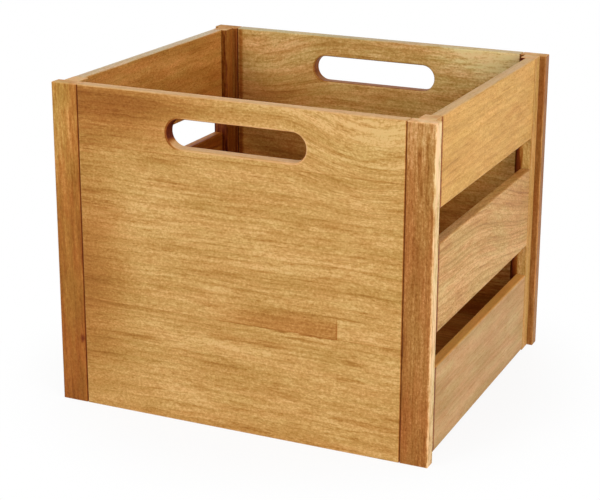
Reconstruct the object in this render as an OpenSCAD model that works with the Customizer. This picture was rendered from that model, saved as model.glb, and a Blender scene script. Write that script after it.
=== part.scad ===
// Record crate in oiled hardwood, open at the top.
// Front and back are wide boards held between two upright stiles, and each has a hand hole.
// Each side is three slats between two corner posts, with a gap under the top and the middle slat.
// X runs to the right, Y to the back, Z up. The front face is at -Y.
// The origin is on the ground below the middle of the crate. All sizes are in millimetres.

/* [Overall] */
// Width over the stiles, left to right
crate_w = 360; // [345:1:460]
// Depth over the front and back faces
crate_d = 320; // [220:1:420]
// Height from the ground to the rim
crate_h = 300; // [265:1:360]

/* [Front and back] */
// Thickness of the wide boards and the stiles
board_t = 12; // [10:0.5:18]
// Width of each upright stile
stile_w = 26; // [24:0.5:40]
// Thickness of the tongue along each upright edge of a wide board
tongue_t = 4; // [3:0.5:5]
// How far the tongue reaches into the stile
tongue_l = 6; // [4:0.5:8]
// How far the tongue and its groove stop short of the rim and of the ground
tongue_stop = 10; // [4:1:30]

/* [Hand holes] */
// Length of the hand hole over its round ends
hole_l = 131; // [90:1:180]
// Height of the hand hole, also the width of its round ends
hole_h = 26; // [20:1:40]
// Wood left between the rim and the top of the hand hole
hole_drop = 21; // [15:1:60]
// Radius that rounds the hole's rim on both faces
hole_round = 1.5; // [1:0.5:4]

/* [Side slats] */
// Height of each slat
slat_h = 79; // [60:0.5:80]
// Thickness of each slat
slat_t = 10; // [8:0.5:14]
// How far the slats' outer face lies in from the stiles' outer edge
slat_recess = 6; // [2:0.5:10]
// Air under the bottom slat
slat_lift = 1.5; // [1:0.5:10]
// Thickness of the stub tenon at each slat end
tenon_t = 4; // [3:0.5:5]
// Length of the stub tenon
tenon_l = 5; // [3:0.5:6]
// Shoulder above and below the tenon
tenon_shoulder = 9; // [5:0.5:20]

/* [Corner posts] */
// Size of a post across the crate
post_w = 15; // [14:0.5:18]
// Size of a post from front to back
post_d = 16; // [14:0.5:24]

/* [Floor] */
// Thickness of the floor board
floor_t = 9; // [6:0.5:12]
// Gap between the floor board and the walls and posts round it
floor_gap = 0.5; // [0.3:0.1:2]
// Width of the cleats that carry the floor
cleat_w = 12; // [10:0.5:16]
// Height of the cleats
cleat_h = 12; // [11:0.5:18]
// Air under the cleats
cleat_lift = 2; // [1:0.5:8]

/* [Screws and dowels] */
// Shank diameter of the wood screws
screw_d = 3.5; // [3:0.1:4]
// Head diameter of the wood screws
screw_head_d = 7; // [6:0.1:8]
// Height of the countersunk head
screw_head_h = 2; // [1.5:0.1:2.5]
// How far a floor screw reaches into its cleat
floor_bite = 9; // [5:0.5:9]
// How far a cleat screw reaches into its wall
wall_bite = 6; // [4:0.5:6]
// Distance from a cleat's end to its outermost screw
screw_inset = 30; // [20:1:40]
// Diameter of the dowels between stile and post
dowel_d = 6; // [5:0.5:8]
// Length of the dowels, where the wood is thick enough
dowel_l = 16; // [12:0.5:16]
// Distance from the rim and from the ground to the nearest dowel
dowel_inset = 40; // [30:1:80]

/* [Edges and fits] */
// Radius of the eased edges of boards, stiles and slats
arris = 1.5; // [0.5:0.1:2]
// Radius of the eased edges of posts and cleats
batten_arris = 1; // [0.5:0.1:1.5]
// Clearance round tongues, tenons, dowels and screws, on each side
fit = 0.1; // [0.05:0.05:0.3]
// Least wood left beside the end or the wall of a hidden pocket
skin = 1.2; // [0.8:0.1:1.5]

/* [Hidden] */

LEFT = -1;
RIGHT = 1;
FRONT = -1;
BACK = 1;
SMOOTH = 48;
PAST = 1;

panel_w = crate_w - 2 * stile_w;
wall_in_y = crate_d / 2 - board_t;
slat_out_x = crate_w / 2 - slat_recess;
slat_mid_x = slat_out_x - slat_t / 2;
slat_in_x = slat_out_x - slat_t;
post_mid_x = slat_out_x - post_w / 2;
post_in_x = slat_out_x - post_w;
post_mid_y = wall_in_y - post_d / 2;
post_in_y = wall_in_y - post_d;
slat_l = 2 * post_in_y;
slat_gap = (crate_h - slat_lift - 3 * slat_h) / 2;
slat_step = slat_h + slat_gap;
hole_mid_z = crate_h - hole_drop - hole_h / 2;
cleat_top = cleat_lift + cleat_h;
floor_top = cleat_top + floor_t;
cross_cleat_l = 2 * post_in_x;
side_cleat_l = 2 * min(post_in_y, wall_in_y - cleat_w);
side_cleat_x = slat_in_x - cleat_w / 2;
cross_cleat_y = wall_in_y - cleat_w / 2;
tongue_h = crate_h - 2 * tongue_stop;
tenon_h = slat_h - 2 * tenon_shoulder;
groove_end_x = panel_w / 2 + tongue_l + fit;
dowel_x = max(post_mid_x, groove_end_x + skin + fit + dowel_d / 2);
dowel_reach = min(dowel_l / 2, board_t - skin - fit, post_d - tenon_l - skin - 2 * fit);
dowel_zs = [dowel_inset, crate_h / 2, crate_h - dowel_inset];
floor_screw_l = floor_t + floor_bite;
wall_screw_l = cleat_w + wall_bite;

// Places of screws along a cleat, as shares of the half span between its outermost places.
// The two rows of one cleat take turns, so that no two screws meet inside it.
cross_floor_shares = [-1, 0, 1];
cross_wall_shares = [-0.5, 0.5];
side_floor_shares = [-0.6, 0.6];
side_wall_shares = [-0.2, 0.2];
cross_cleat_span = cross_cleat_l / 2 - screw_inset;
side_cleat_span = side_cleat_l / 2 - screw_inset;

front_wood = [0.80, 0.61, 0.36];
stile_wood = [0.68, 0.46, 0.25];
slat_wood = [0.86, 0.67, 0.42];
post_wood = [0.74, 0.53, 0.30];
floor_wood = [0.78, 0.62, 0.42];
steel = [0.72, 0.70, 0.66];

// Rectangle round the origin with its four corners rounded to radius r.
module eased_rect(w, h, r) {
    square([w - 2 * r, h], center = true);
    square([w, h - 2 * r], center = true);
    for (x = [-1, 1], y = [-1, 1])
        translate([x * (w / 2 - r), y * (h / 2 - r)])
            circle(r, $fn = SMOOTH);
}

// Block round the origin with all twelve edges eased, as boards leave the sander.
module eased_block(size, r) {
    intersection() {
        linear_extrude(size.z + PAST, center = true)
            eased_rect(size.x, size.y, r);
        rotate([90, 0, 0])
            linear_extrude(size.y + PAST, center = true)
                eased_rect(size.x, size.z, r);
        rotate([90, 0, 90])
            linear_extrude(size.x + PAST, center = true)
                eased_rect(size.y, size.z, r);
    }
}

// Half section of the hand hole from its axis out, flared where the rim is rounded.
// The section's height is the board's thickness, and it runs past both faces.
module hole_half_section() {
    flare = hole_h / 2 + hole_round;
    translate([0, -board_t / 2 - PAST])
        square([hole_h / 2, board_t + 2 * PAST]);
    for (side = [-1, 1])
        scale([1, side])
            translate([0, board_t / 2 - hole_round])
                difference() {
                    square([flare, hole_round + PAST]);
                    translate([flare, 0])
                        circle(hole_round, $fn = SMOOTH);
                }
}

// Everything that the hand hole takes out of a board, lying along X with its axis along Y.
module hole_cut() {
    straight = hole_l - hole_h;
    rotate([90, 0, 0]) {
        for (end = [-1, 1])
            translate([end * straight / 2, 0, 0])
                rotate([0, 0, -end * 90])
                    rotate_extrude(angle = 180, $fn = 2 * SMOOTH)
                        hole_half_section();
        rotate([90, 0, 90])
            linear_extrude(straight, center = true)
                for (side = [-1, 1])
                    scale([side, 1])
                        hole_half_section();
    }
}

// Pocket or tenon standing upright, centred on the origin and grown by a clearance.
module peg(w, d, h, grow = 0) {
    cube([w + 2 * grow, d + 2 * grow, h + 2 * grow], center = true);
}

// Wide board of the front or back, with its tongues, its hand hole and its cleat's screw holes.
module panel(side_y) {
    mid_y = side_y * (crate_d - board_t) / 2;
    difference() {
        translate([0, mid_y, crate_h / 2]) {
            eased_block([panel_w, board_t, crate_h], arris);
            peg(panel_w + 2 * tongue_l, tongue_t, tongue_h);
        }
        translate([0, mid_y, hole_mid_z])
            hole_cut();
        cleat_screws(fit);
    }
}

// Upright stile at one corner, grooved for the board's tongue and drilled for its dowels.
module stile(side_x, side_y) {
    difference() {
        translate([side_x * (crate_w - stile_w) / 2, side_y * (crate_d - board_t) / 2, crate_h / 2])
            eased_block([stile_w, board_t, crate_h], arris);
        translate([side_x * panel_w / 2, side_y * (crate_d - board_t) / 2, crate_h / 2])
            peg(2 * tongue_l, tongue_t, tongue_h, fit);
        corner_dowels(side_x, side_y, fit);
    }
}

// Square post behind a stile, with a mortise for each slat of its side.
module post(side_x, side_y) {
    difference() {
        translate([side_x * post_mid_x, side_y * post_mid_y, crate_h / 2])
            eased_block([post_w, post_d, crate_h], batten_arris);
        for (level = [0:2])
            translate([side_x * slat_mid_x, side_y * post_in_y, slat_mid_z(level)])
                peg(tenon_t, 2 * tenon_l, tenon_h, fit);
        corner_dowels(side_x, side_y, fit);
    }
}

function slat_mid_z(level) = slat_lift + slat_h / 2 + level * slat_step;

// One slat with a stub tenon at each end. Level 0 is the bottom one, which its cleat is screwed to.
module slat(side_x, level) {
    difference() {
        translate([side_x * slat_mid_x, 0, slat_mid_z(level)]) {
            eased_block([slat_t, slat_l, slat_h], arris);
            peg(tenon_t, slat_l + 2 * tenon_l, tenon_h);
        }
        if (level == 0)
            cleat_screws(fit);
    }
}

// Dowels that pin one post to its stile, half in each.
module corner_dowels(side_x, side_y, grow = 0) {
    for (z = dowel_zs)
        translate([side_x * dowel_x, side_y * wall_in_y, z])
            rotate([90, 0, 0])
                cylinder(h = 2 * (dowel_reach + grow), d = dowel_d + 2 * grow, center = true, $fn = SMOOTH);
}

// Wood screw with a countersunk head, its flat top at the origin and its shank down.
module screw(len, grow) {
    head_r = screw_head_d / 2 + grow;
    shank_r = screw_d / 2 + grow;
    translate([0, 0, -screw_head_h])
        cylinder(h = screw_head_h, r1 = shank_r, r2 = head_r, $fn = SMOOTH);
    translate([0, 0, -len - grow])
        cylinder(h = len - screw_head_h + grow, r = shank_r, $fn = SMOOTH);
}

// Screws down through the floor board into the four cleats.
module floor_screws(grow = 0) {
    for (side = [FRONT, BACK], share = cross_floor_shares)
        translate([share * cross_cleat_span, side * cross_cleat_y, floor_top])
            screw(floor_screw_l, grow);
    for (side = [LEFT, RIGHT], share = side_floor_shares)
        translate([side * side_cleat_x, share * side_cleat_span, floor_top])
            screw(floor_screw_l, grow);
}

// Screws out through the cleats into the walls.
module cleat_screws(grow = 0) {
    mid_z = cleat_lift + cleat_h / 2;
    for (side = [FRONT, BACK], share = cross_wall_shares)
        translate([share * cross_cleat_span, side * (wall_in_y - cleat_w), mid_z])
            rotate([side * 90, 0, 0])
                screw(wall_screw_l, grow);
    for (side = [LEFT, RIGHT], share = side_wall_shares)
        translate([side * (slat_in_x - cleat_w), share * side_cleat_span, mid_z])
            rotate([0, -side * 90, 0])
                screw(wall_screw_l, grow);
}

// Cleat along the front or back wall, between the posts.
module cross_cleat(side) {
    difference() {
        translate([0, side * cross_cleat_y, cleat_lift + cleat_h / 2])
            eased_block([cross_cleat_l, cleat_w, cleat_h], batten_arris);
        floor_screws(fit);
        cleat_screws(fit);
    }
}

// Cleat along the bottom slat of a side, between the posts.
module side_cleat(side) {
    difference() {
        translate([side * side_cleat_x, 0, cleat_lift + cleat_h / 2])
            eased_block([cleat_w, side_cleat_l, cleat_h], batten_arris);
        floor_screws(fit);
        cleat_screws(fit);
    }
}

// Floor board, notched round the four posts and countersunk for its screws.
module floor_plate() {
    difference() {
        translate([0, 0, cleat_top])
            linear_extrude(floor_t)
                difference() {
                    square([2 * (slat_in_x - floor_gap), 2 * (wall_in_y - floor_gap)], center = true);
                    for (x = [-1, 1], y = [-1, 1])
                        translate([x * slat_out_x, y * wall_in_y])
                            square([2 * (post_w + floor_gap), 2 * (post_d + floor_gap)], center = true);
                }
        floor_screws(fit);
    }
}

module front_panel() { color(front_wood) panel(FRONT); }
module back_panel() { color(front_wood) panel(BACK); }

module front_left_stile() { color(stile_wood) stile(LEFT, FRONT); }
module front_right_stile() { color(stile_wood) stile(RIGHT, FRONT); }
module back_left_stile() { color(stile_wood) stile(LEFT, BACK); }
module back_right_stile() { color(stile_wood) stile(RIGHT, BACK); }

module front_left_post() { color(post_wood) post(LEFT, FRONT); }
module front_right_post() { color(post_wood) post(RIGHT, FRONT); }
module back_left_post() { color(post_wood) post(LEFT, BACK); }
module back_right_post() { color(post_wood) post(RIGHT, BACK); }

module left_top_slat() { color(slat_wood) slat(LEFT, 2); }
module left_middle_slat() { color(slat_wood) slat(LEFT, 1); }
module left_bottom_slat() { color(slat_wood) slat(LEFT, 0); }
module right_top_slat() { color(slat_wood) slat(RIGHT, 2); }
module right_middle_slat() { color(slat_wood) slat(RIGHT, 1); }
module right_bottom_slat() { color(slat_wood) slat(RIGHT, 0); }

module front_cleat() { color(post_wood) cross_cleat(FRONT); }
module back_cleat() { color(post_wood) cross_cleat(BACK); }
module left_cleat() { color(post_wood) side_cleat(LEFT); }
module right_cleat() { color(post_wood) side_cleat(RIGHT); }
module floor_board() { color(floor_wood) floor_plate(); }

module screws() {
    color(steel) {
        floor_screws();
        cleat_screws();
    }
}

module dowels() {
    color(floor_wood)
        for (x = [LEFT, RIGHT], y = [FRONT, BACK])
            corner_dowels(x, y);
}

front_panel();
back_panel();
front_left_stile();
front_right_stile();
back_left_stile();
back_right_stile();
front_left_post();
front_right_post();
back_left_post();
back_right_post();
left_top_slat();
left_middle_slat();
left_bottom_slat();
right_top_slat();
right_middle_slat();
right_bottom_slat();
front_cleat();
back_cleat();
left_cleat();
right_cleat();
floor_board();
screws();
dowels();
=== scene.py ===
# %% [markdown]
# # A record crate, board by board
# The real object is an open crate for long-playing records: a wide board with a hand hole at the
# front and at the back, an upright stile on each corner, and three slats on each side.
# The shape comes from the CAD model, which is loaded first and stays as it is.
# Blender's part is the look: the wood of each board, the screws, the light and the camera.

from math import pi, radians

import bpy
import numpy as np
from mathutils import Euler, Matrix, Vector


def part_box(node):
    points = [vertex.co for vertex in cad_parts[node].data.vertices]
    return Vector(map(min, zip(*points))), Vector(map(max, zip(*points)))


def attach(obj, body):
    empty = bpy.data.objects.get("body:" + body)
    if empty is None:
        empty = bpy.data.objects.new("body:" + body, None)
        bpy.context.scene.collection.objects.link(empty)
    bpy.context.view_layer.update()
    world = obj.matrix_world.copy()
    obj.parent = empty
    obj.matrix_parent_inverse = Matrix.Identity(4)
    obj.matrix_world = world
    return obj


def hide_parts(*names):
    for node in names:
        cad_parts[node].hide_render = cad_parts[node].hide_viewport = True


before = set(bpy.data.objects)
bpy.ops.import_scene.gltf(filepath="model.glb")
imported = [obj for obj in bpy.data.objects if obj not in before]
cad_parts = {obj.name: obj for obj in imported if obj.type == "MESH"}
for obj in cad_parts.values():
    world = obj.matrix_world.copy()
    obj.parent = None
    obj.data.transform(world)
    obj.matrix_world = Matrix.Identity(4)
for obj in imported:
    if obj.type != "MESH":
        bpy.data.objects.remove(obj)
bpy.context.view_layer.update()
print("pieces in the crate:", len(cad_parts))

# %% [markdown]
# ## Measures
# Everything is in metres here, and the drawing is in millimetres, so one small helper turns
# millimetres into metres. What a node's box can tell is read from its loaded mesh. The hand hole has
# no box of its own, so its size is written down once.

# %% Sizes of the crate
def mm(*values):
    """Millimetres to metres: one number, or a Vector of three."""
    return values[0] / 1000 if len(values) == 1 else Vector(values) / 1000


def box_of(node):
    """Middle and half size of a node's box, from its lowest and highest corner."""
    low, high = (Vector(corner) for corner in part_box(node))
    return (low + high) / 2, (high - low) / 2


TONGUE, TENON = mm(6), mm(5)
HOLE_LENGTH, HOLE_HEIGHT, HOLE_Z = mm(131), mm(26), mm(266)
RIM_Z = mm(300)
print("front panel, with its tongues:", [round(1000 * s, 1) for s in 2 * box_of("front_panel")[1]], "mm")

# %% [markdown]
# ## Drawing with nodes
# A material is a drawing made of nodes. Written out by hand, each node takes four lines, so a
# small class keeps the tree and adds one node per call. A value that is given may be a number,
# a colour or the output of another node, and the class wires it or sets it.

# %% A helper that adds nodes to a tree
class Pattern:
    """A node tree to draw on. Each method adds nodes and returns their last output."""

    def __init__(self, tree):
        self.tree = tree

    def add(self, kind, given=None, **settings):
        """One node of a kind, with its settings and its inputs by name or number."""
        node = self.tree.nodes.new(kind)
        for key, value in settings.items():
            setattr(node, key, value)
        for key, value in (given or {}).items():
            if isinstance(value, bpy.types.NodeSocket):
                self.tree.links.new(value, node.inputs[key])
            else:
                node.inputs[key].default_value = value
        return node

    def math(self, operation, *values):
        """One sum on numbers, such as MULTIPLY."""
        return self.add("ShaderNodeMath", dict(enumerate(values)), operation=operation).outputs[0]

    def product(self, first, *others):
        """Numbers multiplied together."""
        for other in others:
            first = self.math("MULTIPLY", first, other)
        return first

    def total(self, first, *others):
        """Numbers added up."""
        for other in others:
            first = self.math("ADD", first, other)
        return first

    def rest(self, share):
        """What a share leaves of 1."""
        return self.math("SUBTRACT", 1.0, share)

    def vector(self, operation, *values):
        """One sum on vectors. Its output is a number only for LENGTH and DOT_PRODUCT."""
        node = self.add("ShaderNodeVectorMath", dict(enumerate(values)), operation=operation)
        return node.outputs["Value" if operation in ("LENGTH", "DOT_PRODUCT") else "Vector"]

    def ramp(self, value, start, stop, low=0.0, high=1.0):
        """A smooth step from low at start to high at stop, flat beyond them."""
        return self.add("ShaderNodeMapRange", {0: value, 1: start, 2: stop, 3: low, 4: high},
                        interpolation_type="SMOOTHSTEP").outputs[0]

    def noise(self, place, fineness, detail=2.0, roughness=0.5):
        """Noise with so many features per metre on each axis, 0.5 on average."""
        stretched = self.vector("MULTIPLY", place, fineness)
        return self.add("ShaderNodeTexNoise", {"Vector": stretched, "Scale": 1.0, "Detail": detail,
                                               "Roughness": roughness}).outputs[0]

    def split(self, vector):
        """The three numbers of a vector."""
        return self.add("ShaderNodeSeparateXYZ", {0: vector}).outputs

    def join(self, x, y, z):
        """A vector from three numbers."""
        return self.add("ShaderNodeCombineXYZ", {0: x, 1: y, 2: z}).outputs[0]

    def mix(self, share, first, second, blend="MIX"):
        """A share of the second colour laid over the first."""
        return self.add("ShaderNodeMix", {0: share, 6: first, 7: second}, data_type="RGBA",
                        blend_type=blend).outputs[2]

    def place_group(self, name, given):
        """A finished group, with the values that it has here."""
        return self.add("ShaderNodeGroup", given, node_tree=bpy.data.node_groups[name]).outputs


print("ways to draw:", ", ".join(name for name in vars(Pattern) if not name.startswith("_")))

# %% [markdown]
# ## Trees and groups
# Materials and the world each come with a tree, which is emptied before it is drawn on. What
# several materials share, such as growth, stain or wear, is a node group: it is drawn once, has
# named inputs and outputs, and each material places it with values of its own.

# %% Start a tree or a group
def pattern_for(block):
    """The emptied node tree of a material or a world, to draw on."""
    block.use_nodes = True
    block.node_tree.nodes.clear()
    return Pattern(block.node_tree)


NUMBER, PLACE, COLOUR = "NodeSocketFloat", "NodeSocketVector", "NodeSocketColor"
# Nearly all of a noise lies between these.
NOISE_SPAN = (0.3, 0.7)


def new_group(name, inputs, outputs):
    """An empty node group with named inputs and outputs, ready to be drawn in."""
    group = bpy.data.node_groups.new(name, "ShaderNodeTree")
    for label, kind, value in inputs:
        group.interface.new_socket(label, in_out="INPUT", socket_type=kind).default_value = value
    for label, kind in outputs:
        group.interface.new_socket(label, in_out="OUTPUT", socket_type=kind)
    pattern = Pattern(group)
    given = pattern.add("NodeGroupInput").outputs
    result = pattern.add("NodeGroupOutput").inputs
    return pattern, given, lambda label, value: group.links.new(value, result[label])


print("kinds of socket in the groups:", NUMBER, PLACE, COLOUR)

# %% [markdown]
# ## How the tree grew
# A board is a slice of a trunk, so its figure is not a flat print: the growth rings are tubes
# round the pith, and each face shows where it cuts them. The pattern is therefore worked out
# in space. Its X axis runs along the grain, the pith lies on that axis, and the distance from
# it counts the rings. A slow waver pushes the tubes about, which gives the long arches on a
# flat-sawn face. Ordinary noise alone would look like marble and would break at every corner.
# Over the rings come finer things, each a noise drawn out along the grain: fibres, the pores
# as short dark dashes, a few long streaks and small flecks. Two slow ones change whole patches:
# the drift of their tone and the lean of their hue. Where a branch left the trunk, everything
# bulges round it; that push is worked out board by board.

# %% The growth of the wood
# Features per metre, along the grain and in the two directions across it.
FINENESS = {"waver": (4.0, 9.0, 9.0), "ripple": (26.0, 70.0, 70.0), "drift": (11.0, 55.0, 55.0),
            "lean": (18.0, 90.0, 90.0), "streaks": (13.0, 210.0, 210.0), "fibres": (62.0, 440.0, 440.0),
            "flecks": (420.0, 560.0, 560.0), "pores": (150.0, 1300.0, 1300.0)}
ELSEWHERE = {"waver": (3.1, 1.7, 0.4), "streaks": (1.3, 2.6, 0.7), "lean": (5.3, 0.9, 2.2)}
RIPPLE_HEIGHT = mm(4)
BANDS_PER_RING, BAND_PUSH = 0.31, 1.6
RING_SHARPNESS = 3.0
PORE_PEAKS, STREAK_PEAKS = (0.56, 0.74), (0.54, 0.74)


def build_growth():
    """Rings: distance from the pith over the ring width, its fraction raised to a power, so that
    each ring darkens slowly and ends sharply. Bands: the same distance through a slow noise.
    The others are noises on the pushed place; pores and streaks keep only the peaks of theirs."""
    pattern, given, give = new_group(
        "growth",
        [("Place", PLACE, (0, 0, 0)), ("Ring width", NUMBER, 0.004), ("Waver", NUMBER, 0.01),
         ("Bulge", NUMBER, 0.0)],
        [(label, NUMBER) for label in ("Rings", "Bands", "Fibres", "Pores", "Drift", "Lean", "Streaks",
                                       "Flecks")])

    def swing(place, label):
        """Noise that swings about 0."""
        return pattern.math("SUBTRACT", pattern.noise(place, FINENESS[label]), 0.5)

    def moved(place, label):
        """The same place in another part of the trunk, so that two noises don't match."""
        return pattern.vector("ADD", place, ELSEWHERE[label])

    place = given["Place"]
    x, y, z = pattern.split(place)
    y = pattern.math("MULTIPLY_ADD", swing(place, "waver"), given["Waver"], y)
    z = pattern.math("MULTIPLY_ADD", swing(moved(place, "waver"), "waver"), given["Waver"], z)
    z = pattern.math("ADD", z, given["Bulge"])
    flow = pattern.join(x, y, z)
    radius = pattern.vector("LENGTH", pattern.join(0.0, y, z))
    radius = pattern.math("MULTIPLY_ADD", swing(flow, "ripple"), RIPPLE_HEIGHT, radius)
    count = pattern.math("DIVIDE", radius, given["Ring width"])
    bands = pattern.add("ShaderNodeTexNoise", {"W": count, "Scale": BANDS_PER_RING, "Detail": 2.0},
                        noise_dimensions="1D").outputs[0]
    uneven = pattern.math("MULTIPLY_ADD", bands, BAND_PUSH, count)
    give("Rings", pattern.math("POWER", pattern.math("FRACT", uneven), RING_SHARPNESS))
    give("Bands", bands)
    give("Fibres", pattern.noise(flow, FINENESS["fibres"], detail=3.0, roughness=0.55))
    give("Flecks", pattern.noise(flow, FINENESS["flecks"], detail=3.0, roughness=0.7))
    give("Pores", pattern.ramp(pattern.noise(flow, FINENESS["pores"], detail=1.0), *PORE_PEAKS))
    give("Drift", pattern.noise(flow, FINENESS["drift"], detail=4.0, roughness=0.6))
    streaks = pattern.noise(moved(flow, "streaks"), FINENESS["streaks"], detail=3.0, roughness=0.55)
    give("Streaks", pattern.ramp(streaks, *STREAK_PEAKS))
    give("Lean", pattern.noise(moved(flow, "lean"), FINENESS["lean"], detail=3.0, roughness=0.6))


build_growth()
print("group built:", bpy.data.node_groups["growth"].name)

# %% [markdown]
# ## Stain and lacquer
# The crate is stained a warm brown and has a thin satin lacquer. Stain is a clear colour, like
# tea: where more of it lies, the wood gets darker and at the same time redder. Mixing a pale and
# a dark brown would turn grey on the way. So the stain has a depth, and the colour is the bare
# wood times the stain's tint to the power of that depth. The board's own depth, its spots, the
# end grain and half of the fine marks go into it.
# The wood's own figure is browner than the stain: rings, bands, drift and the other half of the
# fine marks work on a second tint, whose power falls below 0 where the wood is paler than its
# average, but never by more than the stain that lies there. A lean of hue to green or red keeps
# a large face from looking printed. Where a board is worn, both powers shrink and other, paler
# wood shows. The lacquer is rougher over the pores, which stand open, and on end grain.

# %% Woods, tints and strengths
# Colours are in linear light. First each board's wood before the stain.
BARE_WOOD = (0.695, 0.469, 0.178)
GOLDEN_WOOD = (0.79, 0.52, 0.16)
WARM_WOOD = (0.74, 0.495, 0.17)
PALE_WOOD = (0.67, 0.446, 0.182)
FOXY_WOOD = (0.80, 0.53, 0.19)
DUN_WOOD = (0.70, 0.484, 0.222)
GREYED_WOOD = (0.61, 0.424, 0.198)
ASHEN_WOOD = (0.862, 0.675, 0.313)
# The wood that shows where a board is worn or sanded.
WORN_WOOD = (0.78, 0.48, 0.22)
SANDED_WOOD = (0.94, 0.645, 0.345)
DUSTY_WOOD = (0.71, 0.485, 0.245)
SILVER_WOOD = (0.74, 0.61, 0.45)
STONE_WOOD = (0.66, 0.60, 0.42)
HONEY_WOOD = (0.86, 0.444, 0.077)
# What one unit of stain or figure leaves of the light, and how far the hue may lean.
STAIN_TINT = (0.66, 0.465, 0.275)
FIGURE_TINT = (0.59, 0.49, 0.27)
GREENER, REDDER = (0.92, 1.06, 1.0), (1.08, 0.92, 0.98)

# For each pattern its average, and how strongly it darkens.
STRENGTHS = {"Rings": (0.25, 0.9), "Bands": (0.5, 2.2), "Drift": (0.5, 1.5), "Fibres": (0.5, 1.1),
             "Pores": (0.1, 0.5), "Streaks": (0.12, 0.6), "Flecks": (0.5, 2.1), "End grain": (0.0, 0.3)}
LOST_BY_WEAR = 0.6
SATIN, ROUGH_PORES, ROUGH_END, ROUGH_FIBRES = 0.42, 0.16, 0.18, 0.12
PORES_SINK, RINGS_RISE = -0.7, 0.15

# What each input is until a board sets it.
STAIN_INPUTS = {"Rings": 0.0, "Bands": 0.5, "Fibres": 0.5, "Pores": 0.0, "Drift": 0.5, "End grain": 0.0,
                "Spots": 0.0, "Wear": 0.0, "Depth": 0.6, "Figure": 0.5, "Cloud": 1.0, "Fineness": 1.0,
                "Streaks": 0.0, "Flecks": 0.5, "Lean": 0.5, "Hue play": 0.5}
print("stain tint for depth 1:", STAIN_TINT)

# %% [markdown]
# ## Mixing the stain
# All these sums are one group. Each board places it with its own wood, depth and strengths, and
# gets back a colour, a roughness and a relief for its Bump node.

# %% Stained wood
def build_stain():
    """Depth: the sum of the board's own, spots, end grain and half of the fine marks, at least 0.
    Figure: the sum of the rest, at least minus the depth. Wear makes both smaller. Colour: wood
    times stain tint to the depth, times figure tint to the figure, times the lean of the hue."""
    pattern, given, give = new_group(
        "stain",
        [(label, NUMBER, value) for label, value in STAIN_INPUTS.items()]
        + [("Wood", COLOUR, (*BARE_WOOD, 1)), ("Worn wood", COLOUR, (*WORN_WOOD, 1))],
        [("Colour", COLOUR), ("Roughness", NUMBER), ("Relief", NUMBER)])

    def part(label):
        """A pattern less its average, times its strength."""
        average, strength = STRENGTHS[label]
        return pattern.math("MULTIPLY", pattern.math("SUBTRACT", given[label], average), strength)

    fine = pattern.total(*(part(label) for label in ("Fibres", "Pores", "Streaks", "Flecks")))
    half_fine = pattern.product(fine, 0.5, given["Fineness"])
    depth = pattern.total(half_fine, given["Depth"], given["Spots"], part("End grain"))
    figure = pattern.math("MULTIPLY", pattern.total(part("Rings"), part("Bands")), given["Figure"])
    figure = pattern.math("MULTIPLY_ADD", part("Drift"), given["Cloud"], figure)
    figure = pattern.math("ADD", figure, half_fine)
    thinner = pattern.math("MULTIPLY_ADD", given["Wear"], -LOST_BY_WEAR, 1.0)
    depth = pattern.math("MAXIMUM", pattern.math("MULTIPLY", depth, thinner), 0.0)
    figure = pattern.math("MAXIMUM", pattern.math("MULTIPLY", figure, thinner),
                          pattern.math("MULTIPLY", depth, -1.0))
    tint = pattern.join(*(pattern.math("MULTIPLY", pattern.math("POWER", stain, depth),
                                       pattern.math("POWER", brown, figure))
                          for stain, brown in zip(STAIN_TINT, FIGURE_TINT)))
    bare = pattern.mix(given["Wear"], given["Wood"], given["Worn wood"])
    greenest = pattern.math("MULTIPLY_ADD", given["Hue play"], -0.5, 0.5)
    reddest = pattern.math("MULTIPLY_ADD", given["Hue play"], 0.5, 0.5)
    share = pattern.ramp(given["Lean"], *NOISE_SPAN, low=greenest, high=reddest)
    bare = pattern.mix(1.0, bare, pattern.mix(share, (*GREENER, 1), (*REDDER, 1)), "MULTIPLY")
    give("Colour", pattern.mix(1.0, bare, tint, "MULTIPLY"))
    rough = pattern.math("MULTIPLY_ADD", given["Pores"], ROUGH_PORES, SATIN)
    rough = pattern.math("MULTIPLY_ADD", given["End grain"], ROUGH_END, rough)
    give("Roughness", pattern.math("MULTIPLY_ADD", given["Fibres"], ROUGH_FIBRES, rough))
    relief = pattern.math("MULTIPLY_ADD", given["Pores"], PORES_SINK, given["Fibres"])
    give("Relief", pattern.math("MULTIPLY_ADD", given["Rings"], RINGS_RISE, relief))


build_stain()
print("group built:", bpy.data.node_groups["stain"].name)

# %% [markdown]
# ## Worn edges
# Hands and sleeves rub the stain off the edges first. Blender can find edges from a mesh's
# own bends, but this mesh is a loose set of triangles, and the eased edges are finer than its
# faces. A board is nearly a box, so its edges are easy to find by sums: of the distances to the
# three pairs of faces, the middle one is the distance to the nearest edge.

# %% Distance to a board's nearest edge
PATCH_FINENESS = (35.0, 35.0, 35.0)


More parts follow.
